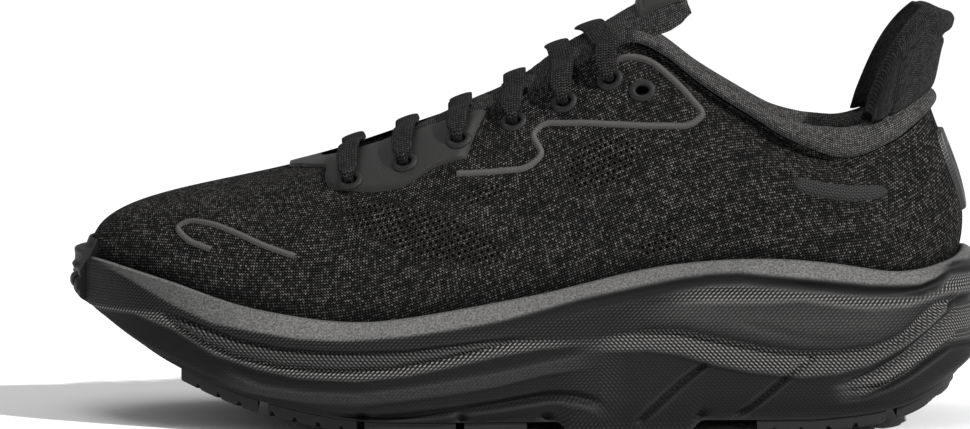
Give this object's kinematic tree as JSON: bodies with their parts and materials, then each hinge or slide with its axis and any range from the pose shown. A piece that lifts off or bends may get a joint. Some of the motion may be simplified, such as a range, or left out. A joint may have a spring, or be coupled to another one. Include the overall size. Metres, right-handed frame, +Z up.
{
  "type": "running shoe",
  "caption": "Low-cut running shoe with a thick sculpted foam midsole, rubber pods, knit upper, flat laces, padded collar and flared heel tab.",
  "frame": {"origin": "on the ground, under the middle of the shoe's box", "axes": "toe toward -X, heel toward +X, +Z up, outer (lateral) side toward -Y"},
  "size_m": [0.3073, 0.1133, 0.1477],
  "materials": {
    "midsole_foam": "moulded foam, fine-textured and matte",
    "outsole_rubber": "moulded rubber, matte",
    "board": "non-woven board",
    "sockliner_foam": "brushed fabric over foam",
    "knit": "engineered knit with a slight sparkle",
    "collar_fabric": "smooth padded knit",
    "welded_film": "satin film",
    "lace_webbing": "flat woven lace",
    "counter_plastic": "satin",
    "reflective_panel": "satin reflective film"
  },
  "bodies": {
    "shoe": {"aglet_front": "counter_plastic", "aglet_rear": "counter_plastic", "collar": "collar_fabric", "eyelet_inner_1": "welded_film", "eyelet_inner_2": "welded_film", "eyelet_inner_3": "welded_film", "eyelet_inner_4": "welded_film", "eyelet_inner_5": "welded_film", "eyelet_inner_6": "welded_film", "eyelet_inner_7": "welded_film", "eyelet_outer_1": "welded_film", "eyelet_outer_2": "welded_film", "eyelet_outer_3": "welded_film", "eyelet_outer_4": "welded_film", "eyelet_outer_5": "welded_film", "eyelet_outer_6": "welded_film", "eyelet_outer_7": "welded_film", "eyestay_weld_inner": "welded_film", "eyestay_weld_outer": "welded_film", "heel_counter": "counter_plastic", "heel_panel": "reflective_panel", "knit_upper": "knit", "lace": "lace_webbing", "midsole": "midsole_foam", "outsole_forefoot_inner_1": "outsole_rubber", "outsole_forefoot_inner_2": "outsole_rubber", "outsole_forefoot_inner_3": "outsole_rubber", "outsole_forefoot_inner_4": "outsole_rubber", "outsole_forefoot_outer_1": "outsole_rubber", "outsole_forefoot_outer_2": "outsole_rubber", "outsole_forefoot_outer_3": "outsole_rubber", "outsole_forefoot_outer_4": "outsole_rubber", "outsole_heel_inner": "outsole_rubber", "outsole_heel_outer": "outsole_rubber", "outsole_heel_rear": "outsole_rubber", "outsole_toe": "outsole_rubber", "side_bar_inner": "lace_webbing", "side_bar_outer": "lace_webbing", "sockliner": "sockliner_foam", "strobel_board": "board", "toe_puff": "counter_plastic", "toe_weld_inner": "welded_film", "toe_weld_outer": "welded_film", "vamp_film": "welded_film"},
    "tongue_body": {"tongue": "collar_fabric", "tongue_label": "welded_film"},
    "heel_tab_body": {"heel_tab": "collar_fabric"}
  },
  "joints": [
    {"name": "tongue_hinge", "type": "hinge", "parent": "shoe", "child": "tongue_body", "pos_m": [-0.07, 0, 0.0808], "axis": [0, 1, 0], "range_deg": [0, 10], "stiffness_Nm_per_rad": 1},
    {"name": "heel_tab_flex", "type": "hinge", "parent": "shoe", "child": "heel_tab_body", "pos_m": [0.1348, 0, 0.1166], "axis": [0, 1, 0], "range_deg": [0, 15], "stiffness_Nm_per_rad": 0.6}
  ]
}
